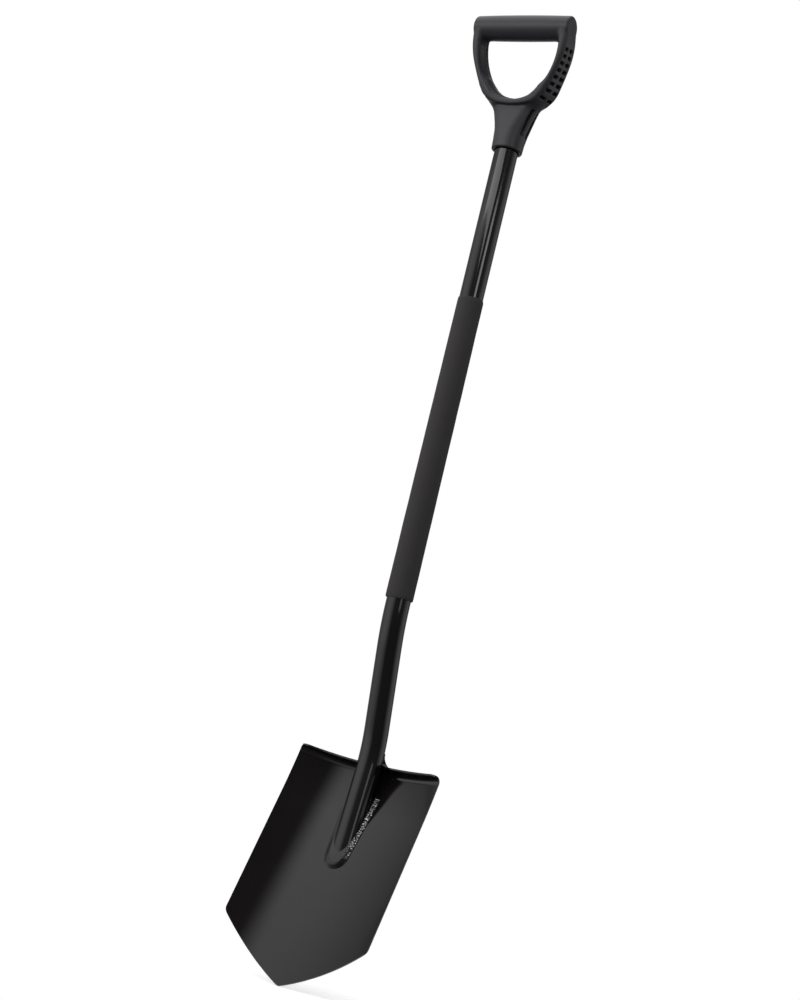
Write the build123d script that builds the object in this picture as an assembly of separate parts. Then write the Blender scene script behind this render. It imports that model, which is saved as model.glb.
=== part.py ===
from build123d import *
from math import asin, cos, degrees, radians, sin, sqrt
import os

# Pointed digging spade with a D-grip, in millimetres.
# +Z runs up the straight upper shaft, the working face looks to -Y and +X is the right side of that face.
# The origin is on the shaft's axis, halfway along the bare tube between the D-grip and the foam sleeve.

# Shaft: round steel tube, cranked back below the sleeve and forward again onto the blade
TUBE_D = 30.0
TUBE_WALL = 1.5
BARE_LENGTH = 195.0
TUBE_INSERTION = 44.0
CRANK_DROP = 32.0
CRANK_ANGLE = 10.1
CRANK_LENGTH = 152.6
CRANK_TOP_RADIUS = 300.0
CRANK_FOOT_RADIUS = 190.0
FOOT_ANGLE = 6.7
FOOT_LENGTH = 170.0

# Foam sleeve, stretched over the tube, a little thicker at its lower end
SLEEVE_LENGTH = 380.0
SLEEVE_TOP_D = 32.4
SLEEVE_BOTTOM_D = 34.4
SLEEVE_EDGE = 0.5

# Blade: pressed sheet, dished across, with a pointed lower edge
BLADE_WIDTH = 192.6
BLADE_SIDE = 217.8
BLADE_LENGTH = 278.6
BLADE_SHEET = 2.0
BLADE_LIFT = 23.7
BLADE_TOP_DISH = 25.0
BLADE_CORNER_DISH = 17.5
POINT_BULGE = 4.2
CORNER_RADIUS = 4.0
TIP_RADIUS = 5.0

# Tread: the blade's top edge folded forward, with rounded outer corners
TREAD_DEPTH = 17.2
TREAD_FRONT_RADIUS = 300.0
TREAD_BEND = 4.0
TREAD_CORNER_RADIUS = 8.0
TREAD_CLEARANCE = 0.2
TREAD_BELOW_CRANK = 14.9
TREAD_TO_AXIS = 21.6

# Welds that hold the tube on the blade: a U round the foot, and a fillet round its back on the tread
FOOT_WELD_START = 32.0
# Height above the face, half width and the distance from the tread to the round end
FOOT_WELD_SECTIONS = ((0.0, 17.0, 129.5), (3.0, 15.6, 127.5), (5.5, 10.5, 121.0))
TREAD_WELD_LEG = 12.0
TREAD_WELD_BACK = 7.0

# D-grip: one moulding, leaning forward of the shaft, with arms that get deeper toward the socket
GRIP_LEAN = 13.0
GRIP_LEAN_HEIGHT = 29.0
GRIP_BAR_HEIGHT = 126.6
GRIP_BAR_MIDDLE_D = 32.2
GRIP_BAR_END_D = 30.4
GRIP_FRONT = 15.0
GRIP_BACK_TOP = 14.2
GRIP_BACK_BOTTOM = 23.0
GRIP_EDGE = 3.6
# Half of the bow's two edges, from the middle of their bottom: radius and turn of each arc
HAND_BOTTOM = 39.5
HAND_ARCS = ((64.0, 13.2), (41.5, 40.0), (80.0, 36.8))
BOW_BOTTOM = 30.3
BOW_ARCS = ((100.5, 14.0), (34.0, 51.0), (380.0, 5.0), (95.0, 20.0))

# Socket from its mouth upward: height, forward shift, half width, half depth, corner radius
SOCKET_SECTIONS = (
    (0.0, 0.0, 19.3, 19.3, 18.8),
    (13.0, 0.0, 19.8, 19.8, 18.2),
    (25.0, -0.4, 21.4, 20.2, 17.2),
    (37.0, -0.4, 24.2, 20.2, 15.8),
    (49.0, 0.6, 28.2, 19.6, 14.2),
    (61.0, 1.5, 33.6, 18.9, 13.0),
    (73.0, 4.5, 38.8, 17.3, 11.6),
    (81.0, 7.5, 42.4, 15.5, 10.4),
)
SOCKET_CLEARANCE = 0.15

# Mould pockets in the grip's flanks: two columns of small ones, and a long pair beside the socket
POCKET_ROWS = 8
POCKET_FIRST = 41.0
POCKET_PITCH = 8.4
POCKET_LENGTH = 4.0
POCKET_WIDTH = 8.0
POCKET_COLUMN = 6.5
POCKET_DEPTH = 4.5
POCKET_REACH = 30.0
LONG_POCKET_LOW = 20.0
LONG_POCKET_HIGH = 48.0
LONG_POCKET_FLOOR = 17.2

# Screw through the back of the socket into the tube
SCREW_HEIGHT = 22.0
SCREW_D = 4.2
SCREW_LENGTH = 9.0
SCREW_HEAD_D = 8.4
SCREW_HEAD = 2.6
SCREW_HEAD_EDGE = 1.2
SCREW_SEAT_D = 10.0
SCREW_SEAT = 17.9
SCREW_CROSS_LENGTH = 5.2
SCREW_CROSS_WIDTH = 1.2
SCREW_CROSS_DEPTH = 1.4

TUBE_R = TUBE_D / 2
HALF_BLADE = BLADE_WIDTH / 2
MOUTH_Z = BARE_LENGTH / 2
SLEEVE_TOP_Z = -BARE_LENGTH / 2
SLEEVE_BOTTOM_Z = SLEEVE_TOP_Z - SLEEVE_LENGTH
# How much of a quarter arc's radius its middle point stands in from the corner
QUARTER_INSET = 1 - sqrt(0.5)


def downward(angle):
    """A direction down the spade that leans forward by an angle in degrees."""
    return Vector(0, -sin(radians(angle)), -cos(radians(angle)))


CRANK_TOP = Vector(0, 0, SLEEVE_BOTTOM_Z - CRANK_DROP)
CRANK_FOOT = CRANK_TOP + downward(-CRANK_ANGLE) * CRANK_LENGTH
TREAD_ON_AXIS = CRANK_FOOT + downward(FOOT_ANGLE) * TREAD_BELOW_CRANK
BLADE_FACING = Vector(0, -cos(radians(BLADE_LIFT)), sin(radians(BLADE_LIFT)))
# In the blade's frame X is across it, Y is up it and Z stands out of its face
BLADE_FRAME = Plane(TREAD_ON_AXIS - BLADE_FACING * TREAD_TO_AXIS, x_dir=(1, 0, 0), z_dir=BLADE_FACING)
# In the grip's frame X is along its bar, Y is to the back and Z is up its arms
GRIP_FRAME = Location((0, 0, MOUTH_Z + GRIP_LEAN_HEIGHT), (GRIP_LEAN, 0, 0))


def along_shaft(radius):
    """A round bar along the shaft's whole axis, from inside the socket to behind the blade's face."""
    top = Vector(0, 0, MOUTH_Z + TUBE_INSERTION)
    toe = CRANK_FOOT + downward(FOOT_ANGLE) * FOOT_LENGTH
    path = FilletPolyline(top, CRANK_TOP, CRANK_FOOT, toe, radius=(CRANK_TOP_RADIUS, CRANK_FOOT_RADIUS))
    return sweep(Plane(path @ 0, z_dir=path % 0) * Circle(radius), path=path)


def arc_radius(width, rise):
    """Radius of an arc with a given width and rise."""
    return (width * width / 4 + rise * rise) / (2 * rise)


def arc_rise(radius, half):
    """How far an arc has risen at a given distance from its middle."""
    return radius - sqrt(radius * radius - half * half)


def dish_section(distance, back):
    """The blade's section at a distance below the tread, from its face to a depth behind it."""
    fall = (BLADE_TOP_DISH - BLADE_CORNER_DISH) / (BLADE_SIDE - TREAD_BEND)
    radius = arc_radius(BLADE_WIDTH, BLADE_TOP_DISH - fall * (distance - TREAD_BEND))
    half = HALF_BLADE + BLADE_SHEET
    face_rise = arc_rise(radius, half)
    back_rise = arc_rise(radius + back, half) - back
    face_arc = ThreePointArc((-half, face_rise), (0, 0), (half, face_rise))
    back_arc = ThreePointArc((half, back_rise), (0, -back), (-half, back_rise))
    sides = Line(face_arc @ 1, back_arc @ 0) + Line(back_arc @ 1, face_arc @ 0)
    return Plane.XZ.offset(distance) * make_face(face_arc + back_arc + sides)


def dished_slab(back):
    """A slab with the blade's dished face in front and a given depth behind it."""
    bottom = BLADE_LENGTH + CORNER_RADIUS
    return loft([dish_section(distance, back) for distance in (TREAD_BEND, bottom)], ruled=True)


def tread_fold():
    """The fold along the blade's top and the tread in front of it, turned about the dish's own axis."""
    reach = TREAD_DEPTH * 2
    inset = TREAD_BEND * QUARTER_INSET
    outer_inset = (TREAD_BEND + BLADE_SHEET) * QUARTER_INSET
    inside_bend = ThreePointArc((0, -TREAD_BEND), (inset, -inset), (TREAD_BEND, 0))
    outside_bend = ThreePointArc(
        (TREAD_BEND, BLADE_SHEET),
        (outer_inset - BLADE_SHEET, BLADE_SHEET - outer_inset),
        (-BLADE_SHEET, -TREAD_BEND),
    )
    front = Polyline(inside_bend @ 1, (reach, 0), (reach, BLADE_SHEET), outside_bend @ 0)
    joint = Line(outside_bend @ 1, inside_bend @ 0)
    side_view = Plane((0, 0, 0), x_dir=(0, 0, 1), z_dir=(-1, 0, 0))
    profile = side_view * make_face(inside_bend + outside_bend + front + joint)
    radius = arc_radius(BLADE_WIDTH, BLADE_TOP_DISH)
    dish_axis = Axis((0, 0, radius), (0, 1, 0))
    half_turn = degrees(asin((HALF_BLADE + TREAD_DEPTH) / radius))
    return revolve(profile, axis=dish_axis, revolution_arc=2 * half_turn).rotate(dish_axis, -half_turn)


def tread_plan():
    """The space the tread may fill, seen from above: a curved front edge with rounded corners."""
    front = TREAD_DEPTH + arc_rise(TREAD_FRONT_RADIUS, HALF_BLADE)
    back = -BLADE_WIDTH
    front_arc = ThreePointArc((HALF_BLADE, front), (0, TREAD_DEPTH), (-HALF_BLADE, front))
    sides = Polyline((-HALF_BLADE, front), (-HALF_BLADE, back), (HALF_BLADE, back), (HALF_BLADE, front))
    plan = make_face(front_arc + sides)
    plan = fillet(plan.vertices().sort_by(Axis.Y)[-2:], TREAD_CORNER_RADIUS)
    return extrude(Plane.XZ * plan, BLADE_WIDTH, both=True)


def blade_outline():
    """The space the blade may fill, seen square to its face: parallel sides and bulged edges to the point."""
    tip = Vector(0, -BLADE_LENGTH)
    corner = Vector(HALF_BLADE, -BLADE_SIDE)
    edge = tip - corner
    middle = (corner + tip) / 2 + Vector(-edge.Y, edge.X).normalized() * POINT_BULGE
    right_edge = ThreePointArc(corner, middle, tip)
    left_edge = ThreePointArc(tip, (-middle.X, middle.Y), (-corner.X, corner.Y))
    sides = Polyline(left_edge @ 1, (-HALF_BLADE, BLADE_SHEET), (HALF_BLADE, BLADE_SHEET), corner)
    outline = make_face(right_edge + left_edge + sides)
    outline = fillet(outline.vertices().sort_by(Axis.Y)[1:3], CORNER_RADIUS)
    outline = fillet(outline.vertices().sort_by(Axis.Y)[0], TIP_RADIUS)
    return extrude(outline, BLADE_WIDTH, both=True)


def behind_face():
    """The space behind the blade's face, which trims the tube's foot and the welds round it."""
    return BLADE_FRAME * dished_slab(BLADE_WIDTH)


def blade():
    """The pressed blade with its tread, notched round the tube."""
    plate = (dished_slab(BLADE_SHEET) + (tread_fold() & tread_plan())) & blade_outline()
    notch = along_shaft(TUBE_R + TREAD_CLEARANCE) - behind_face()
    return BLADE_FRAME * plate - notch


def shaft_tube():
    """The hollow shaft, with its foot cut to lie on the blade's face."""
    return along_shaft(TUBE_R) - along_shaft(TUBE_R - TUBE_WALL) - behind_face() - screw_shank()


def foot_weld(side):
    """The weld run along one side of the tube's foot and round half of its toe: side is 1 right, -1 left."""
    sections = []
    for height, half, toe in FOOT_WELD_SECTIONS:
        straight = Polyline((half, half - toe), (half, 0), (-half, 0), (-half, half - toe))
        end = ThreePointArc((-half, half - toe), (0, -toe), (half, half - toe))
        sections.append(Pos(0, 0, height) * make_face(straight + end))
    reach = BLADE_WIDTH
    keep = Pos(side * reach / 2, -FOOT_WELD_START - reach / 2, 0) * Box(reach, reach, reach)
    return BLADE_FRAME * (loft(sections) & keep) - along_shaft(TUBE_R) - behind_face()


def tread_weld():
    """The smooth fillet of weld on the tread, round the back and both sides of the tube."""
    leg = TREAD_WELD_LEG
    inset = leg * QUARTER_INSET
    hollow = ThreePointArc((TUBE_R, leg), (TUBE_R + inset, inset), (TUBE_R + leg, 0))
    sides = Polyline(hollow @ 1, (TUBE_R + leg, -leg), (TUBE_R, -leg), hollow @ 0)
    ring = Pos(0, 0, BLADE_SHEET) * revolve(Plane.XZ * make_face(hollow + sides), axis=Axis.Z)
    ring = Plane(TREAD_ON_AXIS, x_dir=(1, 0, 0), z_dir=downward(FOOT_ANGLE) * -1) * ring
    reach = BLADE_WIDTH
    depth = TREAD_DEPTH - TREAD_WELD_BACK
    keep = Pos(0, BLADE_SHEET + reach / 2, TREAD_WELD_BACK + depth / 2) * Box(reach, reach, depth)
    return ring & (BLADE_FRAME * keep) - along_shaft(TUBE_R)


def foam_sleeve():
    """The foam tube that covers the middle of the shaft."""
    sleeve = Cone(SLEEVE_BOTTOM_D / 2, SLEEVE_TOP_D / 2, SLEEVE_LENGTH)
    sleeve = fillet(sleeve.edges().filter_by(GeomType.CIRCLE), SLEEVE_EDGE)
    return Pos(0, 0, SLEEVE_TOP_Z - SLEEVE_LENGTH / 2) * (sleeve - Cylinder(TUBE_R, SLEEVE_LENGTH))


def bow_edge(bottom, arcs, outward=0):
    """Half of an edge of the grip's bow, from the middle of its bottom up to the bar's axis."""
    start = Vector(0, bottom - outward)
    tangent = Vector(1, 0)
    edges = []
    for radius, turn in arcs:
        arc = JernArc(start, tangent, radius + outward, turn)
        start = arc @ 1
        tangent = arc % 1
        edges.append(arc)
    edges.append(Line(start, (start.X, GRIP_BAR_HEIGHT)))
    return edges


def both_sides(half):
    """A solid joined to its mirror image on the other side of the grip."""
    return half + mirror(half, about=Plane.YZ)


def bow_depth():
    """The space between the bow's flat front and its back, which slants out toward the socket."""
    side_view = Polyline(
        (-GRIP_FRONT, 0),
        (-GRIP_FRONT, GRIP_BAR_HEIGHT),
        (GRIP_BACK_TOP, GRIP_BAR_HEIGHT),
        (GRIP_BACK_BOTTOM, BOW_BOTTOM),
        (GRIP_BACK_BOTTOM, 0),
        close=True,
    )
    return extrude(Plane.YZ * make_face(side_view), GRIP_BAR_HEIGHT, both=True)


def grip_bow():
    """The bow of the grip: two arms and the curve that joins them below the hand opening."""
    outer = bow_edge(BOW_BOTTOM, BOW_ARCS)
    inner = bow_edge(HAND_BOTTOM, HAND_ARCS)
    ends = [Line(outer[-1] @ 1, inner[-1] @ 1), Line(outer[0] @ 0, inner[0] @ 0)]
    bow = both_sides(extrude(Plane.XZ * make_face(outer + inner + ends), GRIP_BAR_HEIGHT, both=True))
    bow &= bow_depth()
    long_edges = bow.edges().filter_by(Axis.Y, reverse=True)
    return fillet(long_edges.filter_by_position(Axis.Z, 0, GRIP_BAR_HEIGHT - GRIP_EDGE), GRIP_EDGE)


def inside_bow():
    """The space inside the middle of the bow's thickness, which the socket stays out of."""
    inner = bow_edge(HAND_BOTTOM, HAND_ARCS, (HAND_BOTTOM - BOW_BOTTOM) / 2)
    middle = (0, GRIP_BAR_HEIGHT)
    closing = [Line(inner[-1] @ 1, middle), Line(middle, inner[0] @ 0)]
    return both_sides(extrude(Plane.XZ * make_face(inner + closing), GRIP_BAR_HEIGHT, both=True))


def grip_bar():
    """The slightly barrelled bar across the top of the grip, with its ends flush with the arms."""
    half = (bow_edge(BOW_BOTTOM, BOW_ARCS)[-1] @ 1).X
    end_r = GRIP_BAR_END_D / 2
    crown = ThreePointArc((-half, end_r), (0, GRIP_BAR_MIDDLE_D / 2), (half, end_r))
    sides = Polyline(crown @ 1, (half, 0), (-half, 0), crown @ 0)
    bar = revolve(make_face(crown + sides), axis=Axis.X)
    bar = fillet(bar.edges().filter_by(GeomType.CIRCLE), GRIP_EDGE)
    return Pos(0, 0, GRIP_BAR_HEIGHT) * bar


def socket():
    """The outside of the socket, round at its mouth and spreading into the bow."""
    sections = [
        Pos(0, -forward, MOUTH_Z + height) * RectangleRounded(2 * half_width, 2 * half_depth, corner)
        for height, forward, half_width, half_depth, corner in SOCKET_SECTIONS
    ]
    return loft(sections)


def flank_at(height):
    """Where the bow's outer edge is at a height, and the way that it faces there."""
    for arc in bow_edge(BOW_BOTTOM, BOW_ARCS)[:-1]:
        if (arc @ 1).Y >= height:
            centre = arc.arc_center
            up = (height - centre.Y) / arc.radius
            across = sqrt(1 - up * up)
            return Vector(centre.X + across * arc.radius, 0, height), Vector(across, 0, up)
    raise ValueError("height is above the bow's arcs")


def small_pockets():
    """The rows of small mould pockets in both flanks of the bow, in the grip's frame."""
    block = Pos(POCKET_REACH / 2 - POCKET_DEPTH, 0, 0) * Box(POCKET_REACH, POCKET_WIDTH, POCKET_LENGTH)
    pockets = []
    for row in range(POCKET_ROWS):
        point, facing = flank_at(POCKET_FIRST + row * POCKET_PITCH)
        seat = Plane(point, x_dir=facing, z_dir=facing.cross(Vector(0, 1, 0)))
        for column in (-POCKET_COLUMN, POCKET_COLUMN):
            pockets.append(Pos(0, column, 0) * (seat * block))
    return pockets + [mirror(pocket, about=Plane.YZ) for pocket in pockets]


def long_pockets():
    """The pair of long mould pockets in each side of the socket."""
    length = LONG_POCKET_HIGH - LONG_POCKET_LOW
    block = Box(POCKET_REACH, POCKET_WIDTH, length)
    middle = MOUTH_Z + LONG_POCKET_LOW + length / 2
    return [
        Pos(side * (LONG_POCKET_FLOOR + POCKET_REACH / 2), column, middle) * block
        for side in (-1, 1)
        for column in (-POCKET_COLUMN, POCKET_COLUMN)
    ]


def at_screw(solid, distance):
    """A solid turned to lie along the screw, whose head faces the back."""
    return Pos(0, distance, MOUTH_Z + SCREW_HEIGHT) * Rot(-90, 0, 0) * solid


def screw_shank():
    """The screw's thread, as a plain bar, from the seat into the tube."""
    return at_screw(Cylinder(SCREW_D / 2, SCREW_LENGTH), SCREW_SEAT - SCREW_LENGTH / 2)


def grip_screw():
    """The cross-head screw that keeps the grip on the tube."""
    head = Cylinder(SCREW_HEAD_D / 2, SCREW_HEAD)
    head = fillet(head.edges().group_by(Axis.Z)[-1], SCREW_HEAD_EDGE)
    cross = Box(SCREW_CROSS_LENGTH, SCREW_CROSS_WIDTH, 2 * SCREW_CROSS_DEPTH)
    for angle in (0, 90):
        head -= Pos(0, 0, SCREW_HEAD / 2) * Rot(0, 0, angle) * cross
    return at_screw(head, SCREW_SEAT + SCREW_HEAD / 2) + screw_shank()


def d_grip():
    """The moulded D-grip with its socket, pockets and screw seat."""
    grip = GRIP_FRAME * (grip_bow() + grip_bar()) + (socket() - GRIP_FRAME * inside_bow())
    grip -= [GRIP_FRAME * pocket for pocket in small_pockets()] + long_pockets()
    grip -= Pos(0, 0, MOUTH_Z) * Cylinder(TUBE_R + SOCKET_CLEARANCE, 2 * TUBE_INSERTION)
    seat = Cylinder(SCREW_SEAT_D / 2, TUBE_R)
    return grip - at_screw(seat, SCREW_SEAT + TUBE_R / 2) - screw_shank()


PIECES = {
    "blade": blade(),
    "shaft_tube": shaft_tube(),
    "foot_weld_right": foot_weld(1),
    "foot_weld_left": foot_weld(-1),
    "tread_weld": tread_weld(),
    "foam_sleeve": foam_sleeve(),
    "d_grip": d_grip(),
    "grip_screw": grip_screw(),
}

os.makedirs("parts", exist_ok=True)
for name, piece in PIECES.items():
    export_step(piece, f"parts/{name}.step")
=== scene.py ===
from math import cos, hypot, pi, radians, sin, sqrt, tan

import bmesh
import bpy
import numpy as np
from bpy.props import FloatProperty, FloatVectorProperty, PointerProperty
from bpy.types import Operator, Panel, PropertyGroup
from mathutils import Matrix, Vector, noise


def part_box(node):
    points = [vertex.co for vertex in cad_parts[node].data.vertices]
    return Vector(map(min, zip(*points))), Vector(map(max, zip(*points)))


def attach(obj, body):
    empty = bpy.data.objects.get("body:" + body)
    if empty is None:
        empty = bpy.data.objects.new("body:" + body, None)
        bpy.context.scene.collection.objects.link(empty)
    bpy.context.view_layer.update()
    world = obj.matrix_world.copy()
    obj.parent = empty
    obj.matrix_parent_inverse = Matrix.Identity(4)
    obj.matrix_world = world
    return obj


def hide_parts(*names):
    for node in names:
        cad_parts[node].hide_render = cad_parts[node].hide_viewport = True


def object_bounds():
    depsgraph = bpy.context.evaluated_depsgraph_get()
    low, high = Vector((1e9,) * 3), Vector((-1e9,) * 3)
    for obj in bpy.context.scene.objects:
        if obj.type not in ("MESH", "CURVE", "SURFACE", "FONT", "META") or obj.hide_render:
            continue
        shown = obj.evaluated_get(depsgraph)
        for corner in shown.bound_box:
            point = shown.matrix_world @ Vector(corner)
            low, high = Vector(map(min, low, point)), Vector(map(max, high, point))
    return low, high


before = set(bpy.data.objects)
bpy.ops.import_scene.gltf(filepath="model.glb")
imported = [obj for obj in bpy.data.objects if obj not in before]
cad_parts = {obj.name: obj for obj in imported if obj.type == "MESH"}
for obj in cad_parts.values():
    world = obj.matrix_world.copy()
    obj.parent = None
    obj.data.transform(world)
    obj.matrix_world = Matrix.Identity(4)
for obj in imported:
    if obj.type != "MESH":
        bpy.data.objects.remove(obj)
CAD_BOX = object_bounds()

bl_info = {
    "name": "Pointed spade",
    "version": (1, 0, 0),
    "blender": (4, 5, 0),
    "location": "View3D > Sidebar > Spade",
    "description": "Gives the packed pointed spade its paint, welds, foam and plastic, in a studio",
    "category": "Object",
}

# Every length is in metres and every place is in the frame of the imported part
MM = 0.001
ACROSS = Vector((1, 0, 0))

# Shaft: its axis is straight above, cranked back below the sleeve and forward again onto the blade
TUBE_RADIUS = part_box("shaft_tube")[1].x
SHAFT_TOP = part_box("shaft_tube")[1].z
SLEEVE_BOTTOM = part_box("foam_sleeve")[0].z
SLEEVE_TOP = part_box("foam_sleeve")[1].z
CRANK_DROP = 32 * MM
CRANK_ANGLE = radians(10.1)
CRANK_LENGTH = 152.6 * MM
CRANK_TOP_RADIUS = 300 * MM
CRANK_FOOT_RADIUS = 190 * MM
FOOT_ANGLE = radians(6.7)
FOOT_LIMIT = 250 * MM

# Foam sleeve: radii at its top and bottom, drawing in and rounding of its ends, and its gap to the tube
SLEEVE_RADII = (16.2 * MM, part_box("foam_sleeve")[1].x)
SLEEVE_EDGE, SLEEVE_ROUND, SLEEVE_GAP = 0.6 * MM, 0.4 * MM, 0.02 * MM
# Size of the waver in its surface, and the share of it that the cut ends have
WAVER_SIZE, WAVER_AT_ENDS = 22 * MM, 0.3

# Blade: a dished sheet with a pointed lower edge, and its top folded forward into the tread
HALF_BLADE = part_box("blade")[1].x
BLADE_SIDE = 217.8 * MM
BLADE_LENGTH = 278.6 * MM
BLADE_SHEET = 2 * MM
BLADE_LIFT = radians(23.7)
BLADE_TOP_DISH = 21 * MM
BLADE_CORNER_DISH = 17.5 * MM
FACE_FLARE = 2.5 * MM
FLARE_REACH = 60 * MM
POINT_BULGE = 4.2 * MM
CORNER_RADIUS = 4 * MM
TIP_SOFTNESS = 1.5 * MM
TREAD_DEPTH = 17.2 * MM
TREAD_FRONT_RADIUS = 300 * MM
TREAD_BEND = 5.5 * MM
TREAD_FLAT_LEAST = 0.8 * MM
TREAD_CORNER_RADIUS = 12 * MM
# How closely the rounding of the tread's corners keeps to the blade's sides
TREAD_CORNER_POWER = 6
TREAD_BELOW_CRANK = 14.9 * MM
TREAD_TO_AXIS = 21.6 * MM
NOTCH_RADIUS = TUBE_RADIUS + 0.2 * MM

# Weld round the tube's foot, by the distance below the tread
WELD_ROUND = 116 * MM
WELD_TOE = 130.5 * MM
WELD_TOE_RUN = 50 * MM
WELD_NARROW = 12 * MM
WELD_SHOULDER = 5.6 * MM
# How softly its bead levels off, as a share of its height, and how softly bead and flank meet
WELD_LEVELLING, WELD_BLEND = 0.3, 2 * MM
# How far it stays below the tube's top, its least thickness, and how far a weld sinks into the steel
WELD_BELOW_TOP, WELD_LEAST, WELD_SINK = 0.5 * MM, 0.02 * MM, 0.2 * MM
# By side, left -1 and right 1: half width at the round end and how much it widens toward the tread
WELD_WIDTH = {-1: (15.4 * MM, 0.1), 1: (15.4 * MM, 0.09)}
# By side: where the weld begins and where it has its full width
WELD_BEGIN = {-1: (8 * MM, 60 * MM), 1: (27.5 * MM, 35 * MM)}
# By side: the bead's height beside the tube as a share of its height round the toe
WELD_SIDE_SHARE = {-1: 0.28, 1: 0.7}
# By side: the flank's slope as a share of the slope that would only just touch the tube
WELD_FLANK = {-1: 0.22, 1: 0.1}

# Rough weld on the right: size of its spatter, size of its ripples' sway, and that sway in ripples
SPATTER_SIZE, SWAY_SIZE, SWAY = 1.7 * MM, 7 * MM, 0.5
# Spatter's noise: how fast its layers get lower, how much finer each is, and how many there are
SPATTER_NOISE = (1.0, 2.0, 3)
# The share of a ripple's pitch in which it rises slowly, before it drops
RIPPLE_RISE = 0.75
# Where ripples and spatter begin and end, in shoulders from the weld's edge
LUMPS_BEGIN, LUMPS_END = (0.0, 0.3), (1.0, 1.5)
# Bare metal: how far in from the weld's edge it shows, the size of its grains,
# and the noise between which a grain begins
WELD_BARE, WELD_GRAIN, GRAIN_NOISE = 6.2 * MM, 1.7 * MM, (0.49, 0.56)

# Weld on the tread: a hollow fillet round the back of the tube, by the share of its run from left to right
TREAD_WELD_LEFT, TREAD_WELD_RIGHT, TREAD_WELD_GROWTH = 4 * MM, 14.5 * MM, (0.6, 0.92)
# Where it comes to its full size and leaves it again, and its share of that at its ends
TREAD_WELD_FULL, TREAD_WELD_END = (0.1, 0.92), 0.1
TREAD_WELD_EDGE = 0.12 * MM
TREAD_WELD_SPREAD = radians(84)
# How far round the tread's bend its foot follows the steel, as a share of the bend's radius
BEND_FOLLOWED = 0.95

# D-grip, in a frame of its own that leans forward from a place on the shaft's axis
GRIP_PIVOT = Vector((0, 0, 126.5 * MM))
GRIP_LEAN = radians(13)
BAR_HEIGHT = 126.6 * MM
BAR_RADIUS, BAR_END_RADIUS, BAR_END_ROUND = 16.1 * MM, 15.2 * MM, 2.8 * MM
GRIP_FRONT = -15 * MM
GRIP_BACK_TOP, GRIP_BACK_BOTTOM = 14.2 * MM, 23 * MM
# How much wider the bow is at its back than at its front, were it to reach down to the pivot
GRIP_DRAFT = 4 * MM
INNER_EDGE, BACK_EDGE = 3.2 * MM, 3.6 * MM
# Blend of bar and arms: its distance from the bar's end, the run in which it grows, and its least share
BAR_BLEND_END, BAR_BLEND_RUN, BAR_BLEND_LEAST = 3 * MM, 8 * MM, 0.03
# Rounding of the bow's front edge at the lip and at the arms,
# and the distances from the middle between which it grows
OUTER_EDGE, OUTER_EDGE_SIDE = (1.6 * MM, 6 * MM), (20 * MM, 42 * MM)
# The bow's two edges from the middle of their bottom: radius in mm and turn in degrees of each arc
HAND_BOTTOM, HAND_ARCS = 37 * MM, ((50, 20), (44, 33.2), (85, 36.8))
BOW_BOTTOM, BOW_ARCS = 30.3 * MM, ((100.5, 14), (34, 51), (380, 5), (95, 20))
# The opening's inner face, in mm: depth behind the nearer rim,
# and how far the face stands into the opening there
HAND_PROFILE = ((3, 0), (6, -2.4), (9, -2.4), (14.5, 2.8))
# The box of cells in which the right half of the grip's skin is made
GRIP_LOW, GRIP_HIGH = (0, -30 * MM, -36 * MM), (72 * MM, 30 * MM, BAR_HEIGHT + 20 * MM)

# Socket from its mouth upward, in mm: height, forward shift, half width, half depth, corner radius
SOCKET_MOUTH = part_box("d_grip")[0].z
SOCKET_SECTIONS = (
    (0, 0, 19.3, 19.3, 18.8),
    (13, 0, 19.8, 19.8, 18.2),
    (25, -0.6, 21.4, 20, 17.8),
    (37, -0.5, 24.6, 19, 16.6),
    (49, 0, 28.4, 17.6, 15.4),
    (61, 0.8, 32.6, 16.2, 14),
    (73, 4, 37, 15.2, 12.6),
    (81, 6.5, 40.5, 14.6, 11.2),
)
SOCKET_BORE = TUBE_RADIUS + 0.25 * MM
SOCKET_EDGE = 1.2 * MM
SOCKET_TOP = 83 * MM
# How far its front and back fall off toward the sides, and the height at which they have come to that
SOCKET_CROWN, SOCKET_CROWN_FULL = 2.5 * MM, 45 * MM
# How far the socket stays below the hand opening
SOCKET_STOP = 4.6 * MM
# How softly it blends into the bow at the middle, at the sides' front and at the sides' back,
# and the distances from the middle between which that changes
SOCKET_BLENDS, SOCKET_BLEND_SIDE = (2.5 * MM, 17 * MM, 10 * MM), (18 * MM, 34 * MM)

# Mould pockets: rows of small ones in the bow's flanks,
# where a pair of values is for the bottom and the top row
POCKET_ROWS, POCKET_FIRST, POCKET_PITCH = 8, 41 * MM, 8.4 * MM
POCKET_HALF_LENGTH, POCKET_DEPTH = 2 * MM, 3.6 * MM
POCKET_HALF_WIDTHS, POCKET_COLUMNS, POCKET_SHIFTS = (6 * MM, 3.8 * MM), (8.8 * MM, 6 * MM), (3.5 * MM, 0)
# Long pockets beside the socket: their heights above its mouth, and how far from the middle their floor is
SLOT_LOW, SLOT_HIGH, SLOT_FORWARD = 20 * MM, 54 * MM, 1.8 * MM
SLOT_COLUMN, SLOT_HALF_WIDTH, SLOT_FLOOR = 5.6 * MM, 2.6 * MM, 16.5 * MM
SCREW_PLACE = (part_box("grip_screw")[0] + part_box("grip_screw")[1]) / 2
SCREW_SEAT, SCREW_SEAT_RADIUS, SCREW_RADIUS = 17.9 * MM, 5 * MM, 2.2 * MM

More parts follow.
